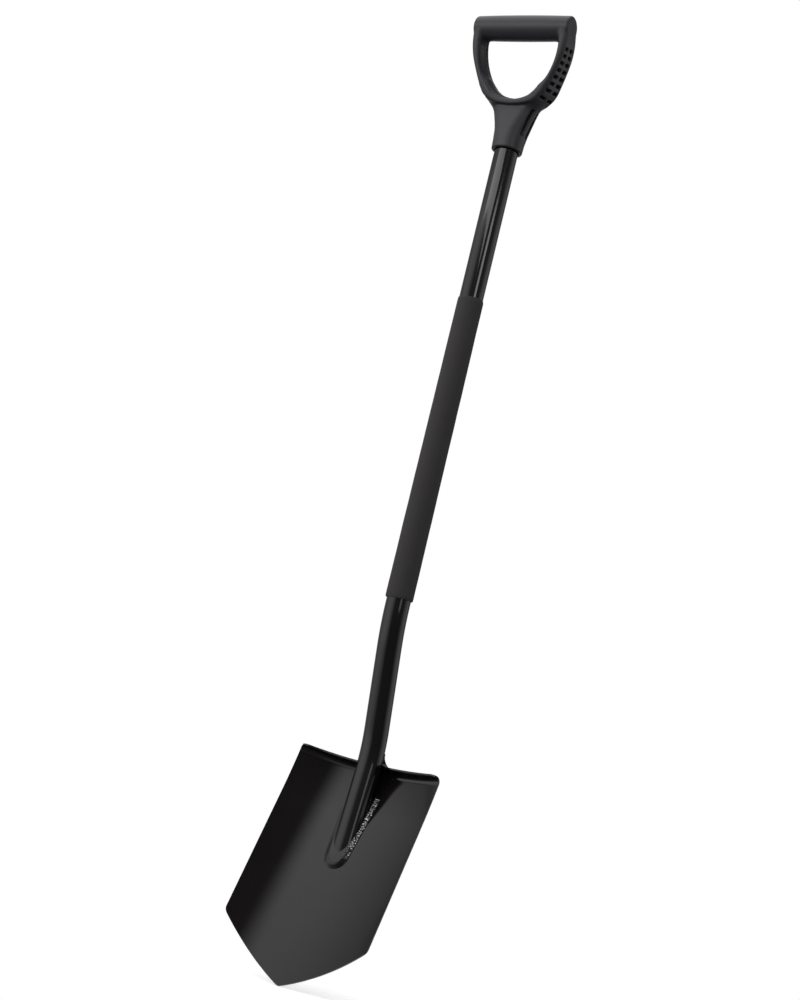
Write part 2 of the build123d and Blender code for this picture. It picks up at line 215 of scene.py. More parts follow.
# How finely the pieces are divided, where a turn is in degrees
AROUND_TUBE, SLEEVE_ROWS = 96, 150
RUN_STEP, FOOT_ROWS = 6 * MM, 60
TREAD_ROWS, BEND_ROWS, FACE_ROWS = 6, 8, 120
NOTCH_COLUMNS, NOTCH_TURN = 16, 5
CORNER_COLUMNS, CORNER_TURN = 7, 15
PLAIN_COLUMNS = 36
WELD_ROWS, WELD_COLUMNS, WELD_FLANK_STEPS = 320, 60, 60
TREAD_WELD_ROWS, TREAD_WELD_STEPS = 60, 12
ARC_STEPS = 10
FLOOR_STEPS = 64
# How often the search for the end of the tube's foot halves its range
HALVINGS = 40
# Faces that meet at more than this angle have a sharp edge
SHARP_ANGLE = radians(60)

# By material: index of refraction, how far its tone drifts and the size of its clouds,
# and its grain: pitch and height of the fine part, then of the broad part
PAINT = (1.5, 0.5, 45 * MM, (2.4 * MM, 0.004 * MM, 28 * MM, 0.05 * MM))
WELD_PAINT = (1.5, 0.8, 8 * MM, (1.3 * MM, 0.01 * MM, 6 * MM, 0.03 * MM))
FOAM = (1.4, 0.25, 30 * MM, (0.7 * MM, 0.1 * MM, 14 * MM, 0.25 * MM))
PLASTIC = (1.49, 0.3, 24 * MM, (0.6 * MM, 0.018 * MM, 18 * MM, 0.06 * MM))
ZINC = (1.5, 0.5, 3 * MM, (0.3 * MM, 0.004 * MM, 2 * MM, 0.01 * MM))
PORE_PITCH, PORE_DEPTH = 1.1 * MM, 0.12 * MM


def downward(angle):
    """A direction down the spade that leans forward by an angle"""
    return Vector((0, -sin(angle), -cos(angle)))


CRANK_TOP = Vector((0, 0, SLEEVE_BOTTOM - CRANK_DROP))
CRANK_FOOT = CRANK_TOP + downward(-CRANK_ANGLE) * CRANK_LENGTH
FACE_OUT = Vector((0, -cos(BLADE_LIFT), sin(BLADE_LIFT)))
FACE_UP = Vector((0, sin(BLADE_LIFT), cos(BLADE_LIFT)))
FOOT_SLOPE = BLADE_LIFT - FOOT_ANGLE
TREAD_MIDDLE = CRANK_FOOT + downward(FOOT_ANGLE) * TREAD_BELOW_CRANK - FACE_OUT * TREAD_TO_AXIS


class SpadeFinish(PropertyGroup):
    """Colours and gloss of the spade's materials"""

    paint_colour: FloatVectorProperty(
        name="Paint", description="Colour of the paint on the steel", subtype="COLOR",
        default=(0.0085, 0.0068, 0.0073), min=0, max=1,
    )
    paint_roughness: FloatProperty(
        name="Paint roughness", description="Lower is glossier", subtype="FACTOR",
        default=0.08, min=0, max=1,
    )
    weld_metal: FloatVectorProperty(
        name="Weld metal", description="Colour of the rough weld's metal where the paint is thin",
        subtype="COLOR", default=(0.42, 0.42, 0.42), min=0, max=1,
    )
    foam_colour: FloatVectorProperty(
        name="Foam", description="Colour of the foam sleeve", subtype="COLOR",
        default=(0.061, 0.057, 0.06), min=0, max=1,
    )
    foam_roughness: FloatProperty(
        name="Foam roughness", description="Lower is glossier", subtype="FACTOR",
        default=0.92, min=0, max=1,
    )
    plastic_colour: FloatVectorProperty(
        name="Plastic", description="Colour of the moulded grip", subtype="COLOR",
        default=(0.04, 0.0385, 0.046), min=0, max=1,
    )
    plastic_roughness: FloatProperty(
        name="Plastic roughness", description="Lower is glossier", subtype="FACTOR",
        default=0.44, min=0, max=1,
    )
    zinc_colour: FloatVectorProperty(
        name="Zinc", description="Colour of the plated screw", subtype="COLOR",
        default=(0.55, 0.56, 0.58), min=0, max=1,
    )
    zinc_roughness: FloatProperty(
        name="Zinc roughness", description="Lower is glossier", subtype="FACTOR",
        default=0.32, min=0, max=1,
    )


class SpadeDetail(PropertyGroup):
    """Sizes of the small forms that the pieces carry"""

    edge_round: FloatProperty(
        name="Blade edge", description="Rounding of the painted sheet's edges", unit="LENGTH",
        default=0.3 * MM, min=0,
    )
    weld_height: FloatProperty(
        name="Weld height", description="Height of the weld round the tube's foot", unit="LENGTH",
        default=3.8 * MM, min=0,
    )
    ripple_pitch: FloatProperty(
        name="Ripple pitch", description="Distance between the ripples of the rough weld", unit="LENGTH",
        default=3.2 * MM, min=0.5 * MM,
    )
    ripple_height: FloatProperty(
        name="Ripple height", description="Height of the ripples of the rough weld", unit="LENGTH",
        default=0.28 * MM, min=0,
    )
    spatter: FloatProperty(
        name="Spatter", description="Height of the irregular lumps on the rough weld", unit="LENGTH",
        default=0.3 * MM, min=0,
    )
    foam_waver: FloatProperty(
        name="Foam waver", description="How far the foam's surface wanders in and out", unit="LENGTH",
        default=0.16 * MM, min=0,
    )
    grip_cell: FloatProperty(
        name="Grip cell", description="Size of the cells that the grip's skin is made from", unit="LENGTH",
        default=0.85 * MM, min=0.4 * MM,
    )
    grip_blend: FloatProperty(
        name="Grip blend", description="How softly the bar runs into the arms", unit="LENGTH",
        default=9 * MM, min=0.1 * MM,
    )


class SpadeStudio(PropertyGroup):
    """Camera, floor and lights of the studio"""

    lens: FloatProperty(
        name="Lens", description="Focal length on a picture side of 36 mm", subtype="DISTANCE_CAMERA",
        default=61.18, min=1,
    )
    room: FloatProperty(
        name="Room", description="Brightness of the white room behind and beside the spade",
        default=1.0, min=0,
    )
    key: FloatProperty(
        name="Key", description="Brightness of the wide lamp to the left of the camera",
        default=2.6, min=0,
    )
    strip: FloatProperty(
        name="Strips", description="Brightness of the narrow lamps to the right of the camera",
        default=3.6, min=0,
    )
    floor_radius: FloatProperty(
        name="Floor", description="Radius of the pale floor", unit="LENGTH", default=0.13, min=0.1,
    )


def add_node(tree, kind, settings=None, inputs=None):
    """Adds a shader node with its own settings, and links each input to a socket or sets it to a value"""
    node = tree.nodes.new(kind)
    for name, value in (settings or {}).items():
        setattr(node, name, value)
    for name, value in (inputs or {}).items():
        if isinstance(value, bpy.types.NodeSocket):
            tree.links.new(value, node.inputs[name])
        else:
            node.inputs[name].default_value = value
    return node


def maths(tree, operation, first, *others):
    """The result of Math nodes that take in one socket or number after another"""
    for other in others or (0.0,):
        first = add_node(tree, "ShaderNodeMath", {"operation": operation}, {0: first, 1: other}).outputs[0]
    return first


def distance_along(tree, place, axis):
    """How far a place or a direction reaches along an axis"""
    node = add_node(tree, "ShaderNodeVectorMath", {"operation": "DOT_PRODUCT"}, {0: place, 1: axis})
    return node.outputs["Value"]


def ramp(tree, value, low, high, first=0.0, last=1.0, easing="LINEAR"):
    """A number that goes from first to last while a value goes from low to high"""
    limits = {"Value": value, 1: low, 2: high, 3: first, 4: last}
    return add_node(tree, "ShaderNodeMapRange", {"interpolation_type": easing}, limits).outputs["Result"]


def own_place(tree):
    """The place on a surface, in the frame of its own object"""
    return add_node(tree, "ShaderNodeTexCoord").outputs["Object"]


def clouds(tree, scale, detail, roughness=0.5):
    """Noise over a surface, where scale is one over the size of its clouds"""
    sizes = {"Vector": own_place(tree), "Scale": scale, "Detail": detail, "Roughness": roughness}
    return add_node(tree, "ShaderNodeTexNoise", None, sizes).outputs["Fac"]


def new_group(name, inputs, outputs):
    """A shader node group: its inputs are labels with defaults, its outputs labels with kinds"""
    tree = bpy.data.node_groups.new(name, "ShaderNodeTree")
    for label, default in inputs.items():
        kind = "NodeSocketColor" if isinstance(default, tuple) else "NodeSocketFloat"
        tree.interface.new_socket(label, in_out="INPUT", socket_type=kind).default_value = default
    for label, kind in outputs.items():
        tree.interface.new_socket(label, in_out="OUTPUT", socket_type=kind)
    return tree, tree.nodes.new("NodeGroupInput").outputs, tree.nodes.new("NodeGroupOutput").inputs


def surface_grain_group():
    """Group that gives a surface a fine grain and a broad waver, as heights in metres"""
    name = "Surface grain"
    if name in bpy.data.node_groups:
        return bpy.data.node_groups[name]
    sizes = {
        "Fine pitch": 2 * MM,
        "Fine height": 0.005 * MM,
        "Broad pitch": 30 * MM,
        "Broad height": 0.02 * MM,
    }
    tree, given, result = new_group(name, sizes, {"Height": "NodeSocketFloat"})
    parts = []
    for label, detail in (("Fine", 2.0), ("Broad", 1.0)):
        scale = maths(tree, "DIVIDE", 1.0, given[label + " pitch"])
        parts.append(maths(tree, "MULTIPLY", clouds(tree, scale, detail), given[label + " height"]))
    tree.links.new(maths(tree, "ADD", *parts), result["Height"])
    return tree


def tone_drift_group():
    """Group that lets a colour and a roughness drift a little over the surface"""
    name = "Tone drift"
    if name in bpy.data.node_groups:
        return bpy.data.node_groups[name]
    given_values = {"Colour": (0.5, 0.5, 0.5, 1.0), "Roughness": 0.5, "Drift": 0.2, "Pitch": 60 * MM}
    outputs = {"Colour": "NodeSocketColor", "Roughness": "NodeSocketFloat"}
    tree, given, result = new_group(name, given_values, outputs)
    cloud = clouds(tree, maths(tree, "DIVIDE", 1.0, given["Pitch"]), detail=5.0, roughness=0.62)
    swing = maths(tree, "MULTIPLY", maths(tree, "SUBTRACT", cloud, 0.5), given["Drift"])
    factor = maths(tree, "ADD", swing, 1.0)
    shade = add_node(tree, "ShaderNodeCombineColor", None, {"Red": factor, "Green": factor, "Blue": factor})
    tinted = add_node(
        tree, "ShaderNodeMix", {"data_type": "RGBA", "blend_type": "MULTIPLY", "clamp_result": True},
        {"Factor": 1.0, "A": given["Colour"], "B": shade.outputs["Color"]},
    )
    tree.links.new(tinted.outputs["Result"], result["Colour"])
    tree.links.new(maths(tree, "MULTIPLY", given["Roughness"], factor), result["Roughness"])
    return tree


def new_material(name):
    """A material with its Principled shader, ready for its nodes"""
    material = bpy.data.materials.new(name)
    material.use_nodes = True
    return material, material.node_tree, material.node_tree.nodes["Principled BSDF"]


def drift(tree, shader, colour, roughness, amount, pitch):
    """Feeds a shader's colour and roughness through the tone drift group"""
    group = add_node(
        tree, "ShaderNodeGroup", {"node_tree": tone_drift_group()},
        {"Colour": (*colour, 1.0), "Roughness": roughness, "Drift": amount, "Pitch": pitch},
    )
    tree.links.new(group.outputs["Colour"], shader.inputs["Base Color"])
    tree.links.new(group.outputs["Roughness"], shader.inputs["Roughness"])


def grain(tree, fine_pitch, fine_height, broad_pitch, broad_height):
    """The height of a surface grain group with its own sizes"""
    return add_node(
        tree, "ShaderNodeGroup", {"node_tree": surface_grain_group()},
        {
            "Fine pitch": fine_pitch,
            "Fine height": fine_height,
            "Broad pitch": broad_pitch,
            "Broad height": broad_height,
        },
    ).outputs["Height"]


def bump(tree, shader, height):
    """Lets a height in metres turn a shader's normal"""
    node = add_node(tree, "ShaderNodeBump", None, {"Height": height, "Distance": 1.0})
    tree.links.new(node.outputs["Normal"], shader.inputs["Normal"])


def new_surface(name, colour, roughness, ior, amount, pitch, sizes):
    """A material whose tone drifts, with its nodes, its shader and the height of its grain"""
    material, tree, shader = new_material(name)
    shader.inputs["IOR"].default_value = ior
    drift(tree, shader, colour, roughness, amount, pitch)
    return material, tree, shader, grain(tree, *sizes)


def gloss_paint():
    """Black enamel on steel: glossy, with the faint orange peel of sprayed paint"""
    if "gloss_paint" in bpy.data.materials:
        return bpy.data.materials["gloss_paint"]
    finish = bpy.context.scene.spade_finish
    material, tree, shader, height = new_surface(
        "gloss_paint", finish.paint_colour, finish.paint_roughness, *PAINT
    )
    bump(tree, shader, height)
    return material


def weld_paint(name):
    """The same enamel over weld metal, whose surface is rougher than rolled sheet"""
    finish = bpy.context.scene.spade_finish
    material, tree, shader, height = new_surface(
        name, finish.paint_colour, finish.paint_roughness, *WELD_PAINT
    )
    bump(tree, shader, height)
    return material


def rough_weld_paint():
    """Enamel that lies so thin on the grains of the rough weld's bead that their metal shows"""
    material = weld_paint("rough_weld_paint")
    tree = material.node_tree
    shader = tree.nodes["Principled BSDF"]
    width, widening = WELD_WIDTH[1]
    outward = ACROSS - FACE_UP * widening
    bead = outward.dot(on_blade(width, WELD_ROUND, 0)) - WELD_BARE
    round_start = FACE_UP.dot(on_blade(0, WELD_ROUND, 0))
    place = own_place(tree)
    bare = maths(
        tree, "MULTIPLY",
        ramp(tree, clouds(tree, 1 / WELD_GRAIN, detail=1.0), *GRAIN_NOISE),
        ramp(tree, distance_along(tree, place, outward), bead, bead + WELD_GRAIN),
        ramp(tree, distance_along(tree, place, FACE_UP), round_start, round_start + WELD_SHOULDER),
    )
    tone = shader.inputs["Base Color"].links[0].from_socket
    metal = (*bpy.context.scene.spade_finish.weld_metal, 1.0)
    mixed = add_node(tree, "ShaderNodeMix", {"data_type": "RGBA"}, {"Factor": bare, "A": tone, "B": metal})
    tree.links.new(mixed.outputs["Result"], shader.inputs["Base Color"])
    tree.links.new(bare, shader.inputs["Metallic"])
    return material


def foam():
    """Closed-cell foam: matte, with fine open pores where its skin was cut"""
    finish = bpy.context.scene.spade_finish
    material, tree, shader, height = new_surface(
        "black_foam", finish.foam_colour, finish.foam_roughness, *FOAM
    )
    cells = add_node(
        tree, "ShaderNodeTexVoronoi", None, {"Vector": own_place(tree), "Scale": 1 / PORE_PITCH}
    )
    pores = maths(tree, "MULTIPLY", cells.outputs["Distance"], PORE_DEPTH)
    bump(tree, shader, maths(tree, "ADD", pores, height))
    return material


def moulded_plastic():
    """Satin plastic with the fine texture of an eroded mould"""
    finish = bpy.context.scene.spade_finish
    material, tree, shader, height = new_surface(
        "moulded_plastic", finish.plastic_colour, finish.plastic_roughness, *PLASTIC
    )
    bump(tree, shader, height)
    return material


def zinc():
    """Zinc plate on the screw"""
    finish = bpy.context.scene.spade_finish
    material, tree, shader, height = new_surface(
        "zinc_plate", finish.zinc_colour, finish.zinc_roughness, *ZINC
    )
    shader.inputs["Metallic"].default_value = 1.0
    bump(tree, shader, height)
    return material


def arc_rise(radius, half):
    """How far an arc has risen at a distance from its middle"""
    return radius - sqrt(radius * radius - half * half)


def on_blade(x, distance, out):
    """A place given across the blade, down from its tread and out of the middle of its face"""
    return TREAD_MIDDLE + ACROSS * x - FACE_UP * distance + FACE_OUT * out


def dish_radius(distance):
    """Radius of the blade's dish at a distance below the tread"""
    fall = (BLADE_TOP_DISH - BLADE_CORNER_DISH) / (BLADE_SIDE - TREAD_BEND)
    rise = BLADE_TOP_DISH - fall * (distance - TREAD_BEND)
    return (HALF_BLADE * HALF_BLADE + rise * rise) / (2 * rise)


def face_flare(distance):
    """How far the face leans forward at a distance below the tread"""
    return FACE_FLARE * max(0.0, 1 - max(0.0, distance) / FLARE_REACH) ** 2


def face_height(x, distance):
    """How far the dished face stands out of the middle of its straight lower part"""
    return arc_rise(dish_radius(distance), x) + face_flare(distance)


def point_edge(x):
    """Distance from the tread to the lower edge, which bulges to a soft tip and has rounded corners"""
    chord = Vector((-HALF_BLADE, BLADE_LENGTH - BLADE_SIDE))
    outward = Vector((chord.y, -chord.x)).normalized()
    radius = (chord.length_squared / 4 + POINT_BULGE * POINT_BULGE) / (2 * POINT_BULGE)
    centre = Vector((HALF_BLADE, BLADE_SIDE)) + chord / 2 - outward * (radius - POINT_BULGE)
    across = hypot(x, TIP_SOFTNESS) - centre.x
    past_corner = max(0.0, abs(x) - HALF_BLADE + CORNER_RADIUS)
    return centre.y + sqrt(radius * radius - across * across) - arc_rise(CORNER_RADIUS, past_corner)


def bend_front(x):
    """How far forward the bend reaches where it runs into the flat of the tread"""
    radius = dish_radius(TREAD_BEND)
    return FACE_FLARE + radius - sqrt((radius - TREAD_BEND) ** 2 - x * x)


def tread_flat(x):
    """Depth of the tread's flat in front of the bend: a curved front edge, notched round the tube"""
    edge = TREAD_DEPTH + arc_rise(TREAD_FRONT_RADIUS, x)
    if abs(x) < NOTCH_RADIUS:
        side = sqrt(1 - (x / NOTCH_RADIUS) ** 2)
        edge = min(edge, TREAD_TO_AXIS - NOTCH_RADIUS / cos(FOOT_SLOPE) * side)
    return max(edge - bend_front(x), TREAD_FLAT_LEAST)


def round_corner(x, run):
    """A distance across the blade, drawn in round the tread's corner at a run back from the front edge"""
    short = arc_rise(TREAD_CORNER_RADIUS, max(0.0, TREAD_CORNER_RADIUS - run))
    return x * (1 - short / HALF_BLADE * (x / HALF_BLADE) ** TREAD_CORNER_POWER)


def blade_column(x, depth):
    """Places down the sheet at a distance from the blade's middle and a depth behind its face"""
    places = []
    for row in range(TREAD_ROWS):
        share = row / TREAD_ROWS
        side = round_corner(x, tread_flat(x) * share)
        places.append(on_blade(side, -depth, bend_front(side) + tread_flat(side) * (1 - share)))
    radius = dish_radius(TREAD_BEND)
    bend = TREAD_BEND + depth
    for row in range(BEND_ROWS):
        angle = pi / 2 * row / BEND_ROWS
        side = round_corner(x, tread_flat(x) + TREAD_BEND * angle)
        level = radius - TREAD_BEND + bend * sin(angle)
        distance = TREAD_BEND - bend * cos(angle)
        out = radius - sqrt(level * level - side * side) + face_flare(distance)
        places.append(on_blade(side, distance, out))
    bent = tread_flat(x) + TREAD_BEND * pi / 2 - TREAD_BEND
    for row in range(FACE_ROWS + 1):
        distance = TREAD_BEND + (point_edge(x) - TREAD_BEND) * row / FACE_ROWS
        side = round_corner(x, bent + distance)
        radius = dish_radius(distance)
        out = radius - sqrt((radius + depth) ** 2 - side * side) + face_flare(distance)
        places.append(on_blade(side, distance, out))
    return places


def blade_columns():
    """Distances from the blade's middle: close round the notch and at the corners, wider between"""
    notch = [NOTCH_RADIUS * sin(radians(NOTCH_TURN * step)) for step in range(NOTCH_COLUMNS)]
    turns = [radians(CORNER_TURN * step) for step in range(CORNER_COLUMNS)]
    corner = [HALF_BLADE - CORNER_RADIUS * (1 - sin(turn)) for turn in turns]
    gap = corner[0] - notch[-1]
    plain = [notch[-1] + gap * step / PLAIN_COLUMNS for step in range(1, PLAIN_COLUMNS)]
    half = notch + plain + corner
    return [-x for x in reversed(half[1:])] + half


def grid_faces(rows, columns, around=False, closed=False):
    """Faces over rows of points, which may join up round each row, and from the last row to the first"""
    faces = []
    for row in range(rows if closed else rows - 1):
        for column in range(columns if around else columns - 1):
            corners = ((row, column), (row, column + 1), (row + 1, column + 1), (row + 1, column))
            faces.append(tuple(down % rows * columns + across % columns for down, across in corners))
    return faces


def skin(rings):
    """Points and faces of a closed skin through rings of points, with a cap at each end"""
    count = len(rings[0])
    points = [point for ring in rings for point in ring]
    faces = grid_faces(len(rings), count, around=True)
    for first, ring in ((0, rings[0]), (len(points) - count, rings[-1])):
        middle = len(points)
        points.append(sum(ring, Vector()) / count)
        faces += [(first + step, first + (step + 1) % count, middle) for step in range(count)]
    return points, faces


def sheet(columns, backs):
    """Points and faces of a sheet between columns of points on its face and the same on its back"""
    rows = len(columns[0])
    points = [point for column in columns + backs for point in column]
    grid = grid_faces(len(columns), rows)
    behind = len(points) // 2
    last = behind - rows
    down = list(range(rows))
    across = list(range(2 * rows - 1, behind, rows))
    up = list(range(behind - 2, last - 1, -1))
    back = list(range(last - rows, 0, -rows))
    rim = down + across + up + back
    faces = grid + [tuple(index + behind for index in face) for face in grid]
    faces += [(a, b, b + behind, a + behind) for a, b in zip(rim, rim[1:] + rim[:1])]
    return points, faces


def new_piece(name, points, faces, material):
    """A smooth object made of points and faces, with its faces turned outward"""
    mesh = bpy.data.meshes.new(name)
    mesh.from_pydata(points, [], faces)
    mesh.materials.append(material)
    work = bmesh.new()
    work.from_mesh(mesh)
    bmesh.ops.recalc_face_normals(work, faces=work.faces)
    work.to_mesh(mesh)
    work.free()
    mesh.shade_smooth()
    mesh.set_sharp_from_angle(angle=SHARP_ANGLE)
    piece = bpy.data.objects.new(name, mesh)
    bpy.context.scene.collection.objects.link(piece)
    return piece


def apply_modifiers(piece):
    """Replaces a piece's mesh by what its modifiers make of it, and shades it smooth"""
    shaped = piece.evaluated_get(bpy.context.evaluated_depsgraph_get())
    mesh = bpy.data.meshes.new_from_object(shaped)
    piece.modifiers.clear()
    piece.data = mesh
    mesh.name = piece.name
    mesh.shade_smooth()


def modify(piece, kind, **settings):
    """Adds a modifier with its settings"""
    modifier = piece.modifiers.new(kind.lower(), kind)
    for name, value in settings.items():
        setattr(modifier, name, value)


def stand_for(piece, slot, *nodes):
    """Puts a piece in the place of CAD nodes: it rides on the root body and the nodes are hidden"""
    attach(piece, "root")
    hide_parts(*nodes)


def finish_node(node, material):
    """Gives a CAD node that stays in view a procedural material"""
    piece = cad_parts[node]
    piece.data.materials.clear()
    piece.data.materials.append(material)


def shaft_axis():
    """Places down the shaft's axis with its lean, from inside the socket to the end of the last bend"""
    top_turn = -CRANK_ANGLE
    foot_turn = CRANK_ANGLE + FOOT_ANGLE
    top_tangent = CRANK_TOP_RADIUS * tan(abs(top_turn) / 2)
    foot_tangent = CRANK_FOOT_RADIUS * tan(foot_turn / 2)
    runs = (
        (SHAFT_TOP - CRANK_TOP.z - top_tangent, 0.0),
        (CRANK_TOP_RADIUS * abs(top_turn), top_turn),
        (CRANK_LENGTH - top_tangent - foot_tangent, 0.0),
        (CRANK_FOOT_RADIUS * foot_turn, foot_turn),
    )
    place, lean = Vector((0, 0, SHAFT_TOP)), 0.0
    axis = [(place.copy(), lean)]
    for length, turn in runs:
        steps = max(1, round(length / RUN_STEP))
        for _ in range(steps):
            place += downward(lean + turn / steps / 2) * (length / steps)
            lean += turn / steps
            axis.append((place.copy(), lean))
    return axis


def round_tube(place, lean):
    """A ring of points round the tube at one place on its axis, from its front"""
    front = Vector((0, -cos(lean), sin(lean)))
    angles = [2 * pi * step / AROUND_TUBE for step in range(AROUND_TUBE)]
    return [place + (front * cos(angle) + ACROSS * sin(angle)) * TUBE_RADIUS for angle in angles]


def reach_to_face(start, direction):
    """How far a line runs before it meets the blade's dished face"""
    low, high = 0.0, FOOT_LIMIT
    for _ in range(HALVINGS):
        middle = (low + high) / 2
        offset = start + direction * middle - TREAD_MIDDLE
        clear = offset.dot(FACE_OUT) - face_height(offset.x, -offset.dot(FACE_UP))
        low, high = (middle, high) if clear > 0 else (low, middle)
    return low


def shaft_rings():
    """Rings down the tube, with its foot cut to lie on the blade's face"""
    axis = shaft_axis()
    rings = [round_tube(place, lean) for place, lean in axis]
    along = downward(FOOT_ANGLE)
    reaches = [reach_to_face(point, along) for point in rings[-1]]
    last = rings[-1]
    for row in range(1, FOOT_ROWS + 1):
        rings.append([p + along * (reach * row / FOOT_ROWS) for p, reach in zip(last, reaches)])
    return rings


def smooth_step(value, low, high):
    """0 below low, 1 above high, and an easy slope between"""
    share = min(1.0, max(0.0, (value - low) / (high - low)))
    return share * share * (3 - 2 * share)


def weld_width(side, distance):
    """Half width of the weld on one side of the foot, as if it had no round end"""
    width, widening = WELD_WIDTH[side]
    wide = width + widening * (WELD_ROUND - distance)
    return WELD_NARROW + (wide - WELD_NARROW) * smooth_step(distance, *WELD_BEGIN[side])


def round_end(distance):
    """How far a distance lies into the weld's round end, from 0 to 1 at its toe"""
    return max(0.0, (distance - WELD_ROUND) / (WELD_TOE - WELD_ROUND))


def soft_max(first, second, reach):
    """The larger of two heights, blended where they are closer than a reach"""
    near = max(0.0, reach - abs(first - second))
    return max(first, second) + near * near / (4 * reach)


def bead_height(side, distance):
    """Height of the bead, which is highest round the toe"""
    share = WELD_SIDE_SHARE[side]
    toe = smooth_step(distance, WELD_ROUND - WELD_TOE_RUN, WELD_ROUND)
    return bpy.context.scene.spade_detail.weld_height * (share + (1 - share) * toe)


def weld_height(side, x, half, distance):
    """Height of the weld above the face: a sloped bead, filled up in a straight flank to the tube"""
    width = weld_width(side, distance)
    inset = width * max(0.0, 1 - hypot(x / width, round_end(distance)))
    bead = bead_height(side, distance) * -soft_max(-inset / WELD_SHOULDER, -1.0, WELD_LEVELLING)
    axis_height = TREAD_TO_AXIS - distance * tan(FOOT_SLOPE)
    deep = TUBE_RADIUS / cos(FOOT_SLOPE)
    steepest = 0.0
    for step in range(WELD_FLANK_STEPS):
        angle = pi / 2 * step / WELD_FLANK_STEPS
        level = axis_height + deep * sin(angle)
        gap = half - TUBE_RADIUS * cos(angle)
        if level > 0 and gap > 0:
            steepest = max(steepest, level / gap)
    flank = WELD_FLANK[side] * steepest * inset
    crown = max(axis_height + deep - WELD_BELOW_TOP, bead)
    height = min(soft_max(bead, flank, WELD_BLEND), crown)
    if side > 0:
        height += weld_lumps(x, inset / WELD_SHOULDER, distance)
    return max(height * smooth_step(distance, *WELD_BEGIN[side]), WELD_LEAST)


def weld_lumps(x, edge, distance):
    """Ripples and spatter along the outer edge of the rough weld on the right"""
    detail = bpy.context.scene.spade_detail
    mask = smooth_step(edge, *LUMPS_BEGIN) * (1 - smooth_step(edge, *LUMPS_END))
    mask *= 1 - smooth_step(distance, WELD_ROUND - WELD_SHOULDER, WELD_ROUND + WELD_SHOULDER)
    place = Vector((x, distance, 0.0))
    beat = (distance / detail.ripple_pitch + SWAY * noise.noise(place / SWAY_SIZE)) % 1
    ripple = beat / RIPPLE_RISE if beat < RIPPLE_RISE else (1 - beat) / (1 - RIPPLE_RISE)
    spatter = noise.fractal(place / SPATTER_SIZE, *SPATTER_NOISE)
    return mask * (detail.ripple_height * ripple + detail.spatter * spatter)


def weld_rings(side):
    """Rings down the weld on one side of the foot: over its top and back along the blade's face"""
    begin = WELD_BEGIN[side][0]
    rings = []
    for row in range(WELD_ROWS):
        distance = begin + (WELD_TOE - begin) * sin(pi / 2 * row / WELD_ROWS)
        half = weld_width(side, distance) * sqrt(1 - round_end(distance) ** 2)
        top, bottom = [], []
        for column in range(WELD_COLUMNS):
            x = half * sin(pi / 2 * column / (WELD_COLUMNS - 1))
            face = face_height(x, distance)
            top.append(on_blade(side * x, distance, face + weld_height(side, x, half, distance)))
            bottom.append(on_blade(side * x, distance, face - WELD_SINK))
        rings.append(top + bottom[::-1])
    return rings


def tread_fall(x, out):
    """How far the tread's top has fallen round its bend, at a distance out of the middle of the face"""
    outer = TREAD_BEND + BLADE_SHEET
    return arc_rise(outer, min(max(0.0, bend_front(x) - out), BEND_FOLLOWED * outer))


def tread_weld_rings():
    """Rings along the hollow fillet on the tread, round the back of the tube and largest at its right"""
    axis = TREAD_TO_AXIS + BLADE_SHEET * tan(FOOT_SLOPE)
    full_from, full_to = TREAD_WELD_FULL
    rings = []
    for row in range(TREAD_WELD_ROWS + 1):
        share = row / TREAD_WELD_ROWS
        angle = TREAD_WELD_SPREAD * (2 * share - 1)
        growth = smooth_step(share, *TREAD_WELD_GROWTH)
        full = smooth_step(share, 0, full_from) * (1 - smooth_step(share, full_to, 1))
        leg = TREAD_WELD_LEFT + (TREAD_WELD_RIGHT - TREAD_WELD_LEFT) * growth
        leg *= TREAD_WELD_END + (1 - TREAD_WELD_END) * full
        section = [(-BLADE_SHEET, leg), (-BLADE_SHEET, -WELD_SINK), (leg, -WELD_SINK)]
        for step in range(TREAD_WELD_STEPS):
            turn = pi / 2 * step / (TREAD_WELD_STEPS - 1)
            section.append((leg * (1 - sin(turn)), leg * (1 - cos(turn)) + TREAD_WELD_EDGE))
        ring = []
        for out, rise in section:
            x = sin(angle) * (TUBE_RADIUS + out)
            y = axis + rise * tan(FOOT_SLOPE) - cos(angle) * (TUBE_RADIUS / cos(FOOT_SLOPE) + out)
            low = min(1.0, max(0.0, 1 - rise / leg))
            ring.append(on_blade(x, low * tread_fall(x, y) - BLADE_SHEET - rise, y))
        rings.append(ring)
    return rings


def sleeve_rings():
    """Rings round the foam, down its outside, over its square-cut ends and up along the tube"""
    waver = bpy.context.scene.spade_detail.foam_waver
    top_radius, bottom_radius = SLEEVE_RADII
    profile = []
    for row in range(SLEEVE_ROWS + 1):
        share = row / SLEEVE_ROWS
        radius = top_radius + (bottom_radius - top_radius) * share
        height = SLEEVE_TOP + (SLEEVE_BOTTOM - SLEEVE_TOP) * share
        profile.append((radius, height, 1.0))
    for index, level in ((0, SLEEVE_TOP), (-1, SLEEVE_BOTTOM)):
        profile[index] = (profile[index][0] - SLEEVE_EDGE, level, WAVER_AT_ENDS)
    inner = TUBE_RADIUS + SLEEVE_GAP
    profile.append((inner, SLEEVE_BOTTOM, 0.0))
    profile.append((inner, SLEEVE_TOP, 0.0))
    rings = []
    for radius, height, loose in profile:
        ring = []
        for step in range(AROUND_TUBE):
            angle = 2 * pi * step / AROUND_TUBE
            out = Vector((sin(angle), -cos(angle), 0))
            place = (out * radius + Vector((0, 0, height))) / WAVER_SIZE
            wander = noise.noise(place) * waver * loose
            ring.append(out * (radius - waver * loose + wander) + Vector((0, 0, height)))
        rings.append(ring)
    return rings


